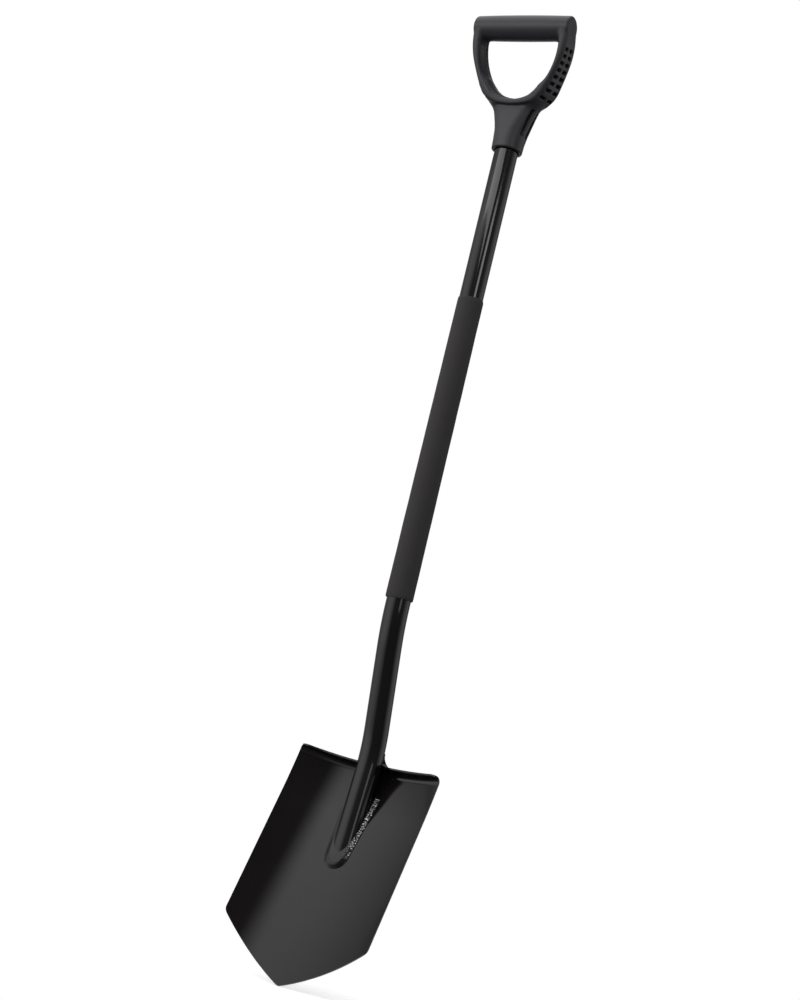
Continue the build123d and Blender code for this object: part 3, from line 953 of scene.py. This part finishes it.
def bow_edge(bottom, arcs):
    """Places up one side of an edge of the grip's bow, from the middle of its bottom to above the bar"""
    place, lean = Vector((0, bottom)), 0.0
    places = [place.copy()]
    for radius, turn in arcs:
        half_step = radians(turn) / ARC_STEPS / 2
        for _ in range(ARC_STEPS):
            chord = 2 * radius * MM * sin(half_step)
            place += Vector((cos(lean + half_step), sin(lean + half_step))) * chord
            lean += 2 * half_step
            places.append(place.copy())
    return places + [Vector((place.x, BAR_HEIGHT + 2 * BAR_RADIUS))]


def edge_distance(edge, x, z):
    """Distance from an edge of the bow on a grid across and up, less than zero inside the edge"""
    nearest = np.full(np.broadcast(x, z).shape, BAR_HEIGHT)
    for start, end in zip(edge, edge[1:]):
        run = end - start
        share = np.clip(((x - start.x) * run.x + (z - start.y) * run.y) / run.length_squared, 0, 1)
        nearest = np.minimum(nearest, np.hypot(x - start.x - share * run.x, z - start.y - share * run.y))
    bottom = np.interp(x, [place.x for place in edge], [place.y for place in edge])
    return np.where((x < edge[-1].x) & (z > bottom), -nearest, nearest)


def round_meet(first, second, radius):
    """What lies inside both of two fields of distances, with a rounded edge"""
    first, second = first + radius, second + radius
    outside = np.hypot(np.maximum(first, 0), np.maximum(second, 0))
    return np.minimum(np.maximum(first, second), 0) + outside - radius


def blend(first, second, reach):
    """What lies inside either of two fields of distances, with a soft hollow between them"""
    near = np.maximum(reach - np.abs(first - second), 0)
    return np.minimum(first, second) - near * near / (4 * reach)


def flank_at(edge, height):
    """Where an edge of the bow is at a height, and the way that it faces there"""
    for start, end in zip(edge, edge[1:]):
        if start.y <= height <= end.y:
            run = (end - start).normalized()
            return start.lerp(end, (height - start.y) / (end.y - start.y)), Vector((run.y, -run.x))
    raise ValueError("The bow has no edge at this height")


def small_pockets(edge, x, y, z):
    """Fields of the rows of small pockets in the flank of the bow"""
    for row in range(POCKET_ROWS):
        place, facing = flank_at(edge, POCKET_FIRST + row * POCKET_PITCH)
        across, up = x - place.x, z - place.y
        out = across * facing.x + up * facing.y
        along = np.abs(up * facing.x - across * facing.y) - POCKET_HALF_LENGTH
        opening = np.maximum(along, -POCKET_DEPTH - out)
        share = row / (POCKET_ROWS - 1)
        width, column, shift = (
            low + (high - low) * share for low, high in (POCKET_HALF_WIDTHS, POCKET_COLUMNS, POCKET_SHIFTS)
        )
        for middle in (shift - column, shift + column):
            yield np.maximum(opening, np.abs(y - middle) - width)


def grip_field(x, y, z):
    """Field of distances from the grip's skin in its leaning frame, less than zero inside the plastic"""
    bow_outline = bow_edge(BOW_BOTTOM, BOW_ARCS)
    bar_half = bow_outline[-1].x
    low = np.clip(1 - z / BAR_HEIGHT, 0, 1)
    bow = edge_distance(bow_outline, x, z) - GRIP_DRAFT * low * (y - GRIP_FRONT) / (-2 * GRIP_FRONT)
    front = GRIP_FRONT - y
    back = y - np.interp(z, (BOW_BOTTOM, BAR_HEIGHT), (GRIP_BACK_BOTTOM, GRIP_BACK_TOP))
    depths, stands = (np.array(column) * MM for column in zip(*HAND_PROFILE))
    hand = -edge_distance(bow_edge(HAND_BOTTOM, HAND_ARCS), x, z)
    hand = hand - np.interp(np.minimum(-front, -back), depths, stands)
    rim = np.maximum(round_meet(hand, front, INNER_EDGE), round_meet(hand, back, BACK_EDGE))
    outer_edge = np.interp(x, OUTER_EDGE_SIDE, OUTER_EDGE)
    flank = np.maximum(round_meet(bow, front, outer_edge), round_meet(bow, back, BACK_EDGE))
    arms = np.maximum(np.maximum(rim, flank), z - BAR_HEIGHT)
    barrel = BAR_RADIUS - (BAR_RADIUS - BAR_END_RADIUS) * (x / bar_half) ** 2
    bar = round_meet(np.hypot(y, z - BAR_HEIGHT) - barrel, x - bar_half, BAR_END_ROUND)
    inward = np.clip((bar_half - BAR_BLEND_END - x) / BAR_BLEND_RUN, BAR_BLEND_LEAST, 1)
    under = np.clip((BAR_HEIGHT - z) / BAR_RADIUS, BAR_BLEND_LEAST, 1)
    grip = blend(arms, bar, bpy.context.scene.spade_detail.grip_blend * inward * under)

    part_y = y * cos(GRIP_LEAN) - z * sin(GRIP_LEAN)
    height = y * sin(GRIP_LEAN) + z * cos(GRIP_LEAN) + GRIP_PIVOT.z - SOCKET_MOUTH
    heights, *sizes = (np.array(column) * MM for column in zip(*SOCKET_SECTIONS))
    forward, half_width, half_depth, corner = (np.interp(height, heights, size) for size in sizes)
    crown = SOCKET_CROWN * np.clip(height / SOCKET_CROWN_FULL, 0, 1)
    half_depth = half_depth - crown * (x / half_width) ** 2
    socket = round_meet(x - half_width, np.abs(part_y + forward) - half_depth, corner)
    socket = round_meet(socket, -height, SOCKET_EDGE)
    socket = np.maximum(np.maximum(socket, hand + SOCKET_STOP), height - SOCKET_TOP)
    middle, front_side, back_side = SOCKET_BLENDS
    mean_depth = half_depth.mean()
    side = np.interp(y, (-mean_depth, mean_depth), (front_side, back_side))
    grip = blend(grip, socket, middle + (side - middle) * np.interp(x, SOCKET_BLEND_SIDE, (0, 1)))

    for pocket in small_pockets(bow_outline, x, y, z):
        grip = np.maximum(grip, -pocket)
    slot_ends = np.abs(height - (SLOT_LOW + SLOT_HIGH) / 2) - (SLOT_HIGH - SLOT_LOW) / 2
    slot = np.maximum(slot_ends, SLOT_FLOOR - x)
    slot = np.maximum(slot, np.abs(np.abs(part_y + SLOT_FORWARD) - SLOT_COLUMN) - SLOT_HALF_WIDTH)
    bore = np.maximum(np.hypot(x, part_y) - SOCKET_BORE, height - (SHAFT_TOP - SOCKET_MOUTH))
    screw = np.hypot(x, height + SOCKET_MOUTH - SCREW_PLACE.z)
    seat = np.maximum(screw - SCREW_SEAT_RADIUS, SCREW_SEAT - part_y)
    shank = np.maximum(screw - SCREW_RADIUS, -part_y)
    for hole in (slot, bore, seat, shank):
        grip = np.maximum(grip, -hole)
    return grip


def field_skin(field, origin, cell):
    """Points and faces of the skin where a field of distances on a grid passes through zero"""
    cells = [count - 1 for count in field.shape]
    strides = np.array((cells[1] * cells[2], cells[2], 1))
    inside = field < 0
    totals = np.zeros((4, int(np.prod(cells))))
    quads = []
    for axis in range(3):
        first = [slice(1, -1)] * 3
        first[axis] = slice(0, -1)
        second = list(first)
        second[axis] = slice(1, None)
        first, second = tuple(first), tuple(second)
        crossed = np.argwhere(inside[first] != inside[second])
        start, end = field[first][tuple(crossed.T)], field[second][tuple(crossed.T)]
        crossed += [0 if other == axis else 1 for other in range(3)]
        places = crossed.astype(float)
        places[:, axis] += start / (start - end)
        sides = [other for other in range(3) if other != axis]
        around = []
        for step in ((0, 0), (1, 0), (1, 1), (0, 1)):
            beside = crossed.copy()
            beside[:, sides] -= step
            around.append(beside @ strides)
            for row, values in enumerate((*places.T, np.ones(len(places)))):
                totals[row] += np.bincount(around[-1], weights=values, minlength=totals.shape[1])
        quads.append(np.stack(around, axis=1))
    used = np.flatnonzero(totals[3])
    points = (totals[:3, used] / totals[3, used]).T * cell + origin
    numbers = np.zeros(totals.shape[1], dtype=int)
    numbers[used] = np.arange(len(used))
    return points.tolist(), numbers[np.concatenate(quads)].tolist()


def grip_skin():
    """Points and faces of the grip's skin in the part's frame, made from its field on a grid of cells"""
    cell = bpy.context.scene.spade_detail.grip_cell
    x, y, z = (np.arange(start + cell / 2, end, cell) for start, end in zip(GRIP_LOW, GRIP_HIGH))
    half = grip_field(x[:, None, None], y[None, :, None], z[None, None, :])
    origin = np.array((-x[-1], y[0], z[0]))
    points, faces = field_skin(np.concatenate((half[::-1], half)), origin, cell)
    turned = Matrix.Translation(GRIP_PIVOT) @ Matrix.Rotation(GRIP_LEAN, 4, "X")
    return [turned @ Vector(point) for point in points], faces


class SPADE_OT_blade(Operator):
    """Makes the pressed blade with its folded tread"""

    bl_idname = "spade.blade"
    bl_label = "Blade"

    def execute(self, context):
        columns = [blade_column(x, 0) for x in blade_columns()]
        backs = [blade_column(x, BLADE_SHEET) for x in blade_columns()]
        piece = new_piece("blade_sheet", *sheet(columns, backs), gloss_paint())
        modify(
            piece, "BEVEL", width=context.scene.spade_detail.edge_round, segments=3,
            limit_method="ANGLE", angle_limit=radians(55), harden_normals=True,
        )
        apply_modifiers(piece)
        stand_for(piece, "gloss_black_paint", "blade")
        return {"FINISHED"}


class SPADE_OT_shaft(Operator):
    """Makes the cranked shaft tube"""

    bl_idname = "spade.shaft"
    bl_label = "Shaft"

    def execute(self, context):
        piece = new_piece("shaft", *skin(shaft_rings()), gloss_paint())
        stand_for(piece, "gloss_black_paint", "shaft_tube")
        return {"FINISHED"}


class SPADE_OT_welds(Operator):
    """Makes the smooth and the rough weld round the foot, and the fillet on the tread"""

    bl_idname = "spade.welds"
    bl_label = "Welds"

    def execute(self, context):
        smooth = weld_paint("weld_paint")
        for side, word, material in ((-1, "left", smooth), (1, "right", rough_weld_paint())):
            piece = new_piece("weld_" + word, *skin(weld_rings(side)), material)
            stand_for(piece, "painted_weld", "foot_weld_" + word)
        piece = new_piece("weld_on_tread", *skin(tread_weld_rings()), smooth)
        stand_for(piece, "painted_weld", "tread_weld")
        return {"FINISHED"}


class SPADE_OT_sleeve(Operator):
    """Makes the foam sleeve"""

    bl_idname = "spade.sleeve"
    bl_label = "Foam sleeve"

    def execute(self, context):
        rings = sleeve_rings()
        points = [point for ring in rings for point in ring]
        faces = grid_faces(len(rings), AROUND_TUBE, around=True, closed=True)
        piece = new_piece("foam_cover", points, faces, foam())
        modify(
            piece, "BEVEL", width=SLEEVE_ROUND, segments=2,
            limit_method="ANGLE", angle_limit=radians(40),
        )
        apply_modifiers(piece)
        stand_for(piece, "black_foam", "foam_sleeve")
        return {"FINISHED"}


class SPADE_OT_grip(Operator):
    """Makes the moulded D-grip, with its creases blended as a mould blends them"""

    bl_idname = "spade.grip"
    bl_label = "D-grip"

    def execute(self, context):
        piece = new_piece("grip_moulding", *grip_skin(), moulded_plastic())
        modify(piece, "SMOOTH", factor=0.5, iterations=2)
        apply_modifiers(piece)
        stand_for(piece, "black_plastic", "d_grip")
        return {"FINISHED"}


class SPADE_OT_screw(Operator):
    """Plates the screw in the back of the socket"""

    bl_idname = "spade.screw"
    bl_label = "Screw"

    def execute(self, context):
        finish_node("grip_screw", zinc())
        return {"FINISHED"}


# Studio: directions are turned from the one toward the camera, positive to the right of the picture
CAMERA_PLACE = Vector((0.96864, -1.7834, -0.66293))
CAMERA_TARGET = Vector((-0.03069, 0, -0.35818))
CAMERA_ROLL = radians(13.62)
PICTURE_SIDE = 36
# By lamp: azimuth, elevation, width, height and tilt in degrees as seen from the bare tube, and distance
KEY_LAMP = (-38, 24, 65, 11, -4.5, 1.0)
STRIP_LAMP = (26.2, 15.1, 17, 8.2, 0, 8.0)
LOW_STRIP_LAMP = (25.2, 5, 15, 12, 0, 8.0)
LOW_STRIP_SHARE = 0.35
# Brightness of the room's parts, and the degrees between which each changes
WALL_LEVELS, WALL_TURN, WALL_FADE = (0.3, 1.2), (-135, -78), (-62, -12)
PANEL_LEVELS, PANEL_RISE, PANEL_FADE, PANEL_FOOT = (0.3, 1.45), (16, 44), (-48, -29.5), (18, 24)
RIGHT_WALL, RIGHT_RISE, RIGHT_FALL, RIGHT_HEAD = 0.75, (48, 94), (112, 140), (19, 31)
BACKDROP_FADE = (152, 168)
CEILING, CEILING_FADE = 1.2, (46, 60)
FRONT_LEVELS, FRONT_FADE = (0.19, 0.07), (18, 30)
FRONT_FOOT_SHARES, FRONT_FOOT = (0.55, 1.0), (-4, 16)
BELOW_FADE = (-32, -5)
# Floor: its tone and gloss, the drift of its tone, and the light that it adds where it is in view
FLOOR_COLOUR, FLOOR_ROUGHNESS = (0.86, 0.86, 0.86), 0.8
FLOOR_DRIFT, FLOOR_PITCH, FLOOR_GLOW = 0.02, 0.4, 0.55


def toward_camera():
    """Level direction from the spade to the camera"""
    return (CAMERA_PLACE - CAMERA_TARGET).to_2d().to_3d().normalized()


def studio_direction(azimuth, elevation):
    """A direction by its turn from the camera and its height, in degrees"""
    level = Matrix.Rotation(radians(azimuth), 3, "Z") @ toward_camera()
    return level * cos(radians(elevation)) + Vector((0, 0, sin(radians(elevation))))


def add_lamp(name, azimuth, elevation, width, height, tilt, distance, brightness):
    """A soft lamp that looks as wide, high and tilted from the spade as its angles say"""
    lamp = bpy.data.lights.new(name, "AREA")
    lamp.shape = "RECTANGLE"
    lamp.size = 2 * distance * tan(radians(width / 2))
    lamp.size_y = 2 * distance * tan(radians(height / 2))
    lamp.energy = brightness * pi * lamp.size * lamp.size_y
    holder = bpy.data.objects.new(name, lamp)
    direction = studio_direction(azimuth, elevation)
    turned = direction.to_track_quat("Z", "Y").to_matrix() @ Matrix.Rotation(radians(tilt), 3, "Z")
    holder.matrix_world = Matrix.Translation(direction * distance) @ turned.to_4x4()
    holder.visible_camera = False
    bpy.context.scene.collection.objects.link(holder)


def add_camera(lens):
    """The camera, where the spade is seen from its right front and a little tilted"""
    camera = bpy.data.cameras.new("camera")
    camera.sensor_fit = "VERTICAL"
    camera.sensor_height = PICTURE_SIDE
    camera.lens = lens
    holder = bpy.data.objects.new("camera", camera)
    aim = (CAMERA_TARGET - CAMERA_PLACE).to_track_quat("-Z", "Y").to_matrix()
    turned = aim @ Matrix.Rotation(CAMERA_ROLL, 3, "Z")
    holder.matrix_world = Matrix.Translation(CAMERA_PLACE) @ turned.to_4x4()
    bpy.context.scene.collection.objects.link(holder)
    bpy.context.scene.camera = holder


def add_room(brightness):
    """A room that is white behind and beside the spade and dark behind the camera"""
    world = bpy.data.worlds.new("room")
    world.use_nodes = True
    bpy.context.scene.world = world
    tree = world.node_tree
    direction = add_node(tree, "ShaderNodeTexCoord").outputs["Generated"]

    def fade(angle, low, high, first, last):
        return ramp(tree, angle, radians(low), radians(high), first, last, "SMOOTHSTEP")

    def product(*values):
        return maths(tree, "MULTIPLY", *values)

    def brightest(*values):
        return maths(tree, "MAXIMUM", *values)

    ahead = toward_camera()
    axes = (Matrix.Rotation(pi / 2, 3, "Z") @ ahead, ahead, Vector((0, 0, 1)))
    right_part, ahead_part, up_part = (distance_along(tree, direction, axis) for axis in axes)
    azimuth = maths(tree, "ARCTAN2", right_part, ahead_part)
    elevation = maths(tree, "ARCSINE", up_part)
    path = add_node(tree, "ShaderNodeLightPath").outputs
    wall = product(
        fade(azimuth, *WALL_TURN, *WALL_LEVELS),
        fade(azimuth, *WALL_FADE, 1.0, 0.0),
        fade(elevation, *PANEL_FOOT, 1.0, 0.0),
    )
    panel = product(
        fade(elevation, *PANEL_RISE, *PANEL_LEVELS),
        fade(azimuth, *PANEL_FADE, 1.0, 0.0),
        fade(elevation, *PANEL_FOOT, 0.0, 1.0),
    )
    right = product(
        fade(azimuth, *RIGHT_RISE, 0.0, RIGHT_WALL),
        fade(azimuth, *RIGHT_FALL, 1.0, 0.0),
        fade(elevation, *RIGHT_HEAD, 1.0, 0.0),
    )
    ceiling = fade(elevation, *CEILING_FADE, 0.0, CEILING)
    front = product(
        fade(elevation, *FRONT_FADE, *FRONT_LEVELS),
        fade(elevation, *FRONT_FOOT, *FRONT_FOOT_SHARES),
    )
    backdrop = product(
        brightest(path["Is Glossy Ray"], path["Is Transmission Ray"]),
        fade(maths(tree, "ABSOLUTE", azimuth), *BACKDROP_FADE, 0.0, 1.0),
    )
    sides = product(brightest(wall, panel, right, backdrop), fade(elevation, *BELOW_FADE, 0.0, 1.0))
    room = product(brightest(sides, ceiling, front), brightness)
    strength = brightest(path["Is Camera Ray"], room)
    background = tree.nodes["Background"]
    background.inputs["Color"].default_value = (1, 1, 1, 1)
    tree.links.new(strength, background.inputs["Strength"])


def add_floor(radius):
    """The pale floor under the tip, which looks white and keeps the spade's shadow"""
    rim = [2 * pi * step / FLOOR_STEPS for step in range(FLOOR_STEPS)]
    tip = Vector((0, CAD_BOX[0].y, CAD_BOX[0].z))
    points = [tip + Vector((cos(angle), sin(angle), 0)) * radius for angle in rim]
    material, tree, shader = new_material("pale_floor")
    drift(tree, shader, FLOOR_COLOUR, FLOOR_ROUGHNESS, FLOOR_DRIFT, FLOOR_PITCH)
    path = add_node(tree, "ShaderNodeLightPath").outputs
    rays = (path[kind] for kind in ("Is Camera Ray", "Is Glossy Ray", "Is Transmission Ray"))
    glow = maths(tree, "MULTIPLY", maths(tree, "MAXIMUM", *rays), FLOOR_GLOW)
    shader.inputs["Emission Color"].default_value = (1, 1, 1, 1)
    tree.links.new(glow, shader.inputs["Emission Strength"])
    floor = new_piece("floor", points, [tuple(range(FLOOR_STEPS))], material)


class SPADE_OT_stage(Operator):
    """Sets the floor, the room, the lamps and the camera"""

    bl_idname = "spade.stage"
    bl_label = "Stage"

    def execute(self, context):
        studio = context.scene.spade_studio
        context.scene.view_settings.view_transform = "Standard"
        add_camera(studio.lens)
        add_floor(studio.floor_radius)
        add_room(studio.room)
        add_lamp("key", *KEY_LAMP, studio.key)
        add_lamp("strip", *STRIP_LAMP, studio.strip)
        add_lamp("low_strip", *LOW_STRIP_LAMP, studio.strip * LOW_STRIP_SHARE)
        return {"FINISHED"}


OPERATORS = (
    SPADE_OT_blade,
    SPADE_OT_shaft,
    SPADE_OT_welds,
    SPADE_OT_sleeve,
    SPADE_OT_grip,
    SPADE_OT_screw,
    SPADE_OT_stage,
)
SETTINGS = {"spade_finish": SpadeFinish, "spade_detail": SpadeDetail, "spade_studio": SpadeStudio}


class VIEW3D_PT_spade(Panel):
    """Lists the spade's settings and the steps that make it"""

    bl_label = "Pointed spade"
    bl_space_type = "VIEW_3D"
    bl_region_type = "UI"
    bl_category = "Spade"

    def draw(self, context):
        for name, group in SETTINGS.items():
            box = self.layout.box()
            for setting in group.__annotations__:
                box.prop(getattr(context.scene, name), setting)
        for operator in OPERATORS:
            self.layout.operator(operator.bl_idname)


def register():
    """Registers the settings, the steps and the panel"""
    for name, group in SETTINGS.items():
        bpy.utils.register_class(group)
        setattr(bpy.types.Scene, name, PointerProperty(type=group))
    for kind in (*OPERATORS, VIEW3D_PT_spade):
        bpy.utils.register_class(kind)


def unregister():
    """Takes them away again"""
    for kind in (VIEW3D_PT_spade, *reversed(OPERATORS)):
        bpy.utils.unregister_class(kind)
    for name, group in reversed(SETTINGS.items()):
        delattr(bpy.types.Scene, name)
        bpy.utils.unregister_class(group)


def main():
    """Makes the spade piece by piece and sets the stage"""
    register()
    bpy.ops.spade.blade()
    bpy.ops.spade.shaft()
    bpy.ops.spade.welds()
    bpy.ops.spade.sleeve()
    bpy.ops.spade.grip()
    bpy.ops.spade.screw()
    bpy.ops.spade.stage()


if __name__ == "__main__":
    main()
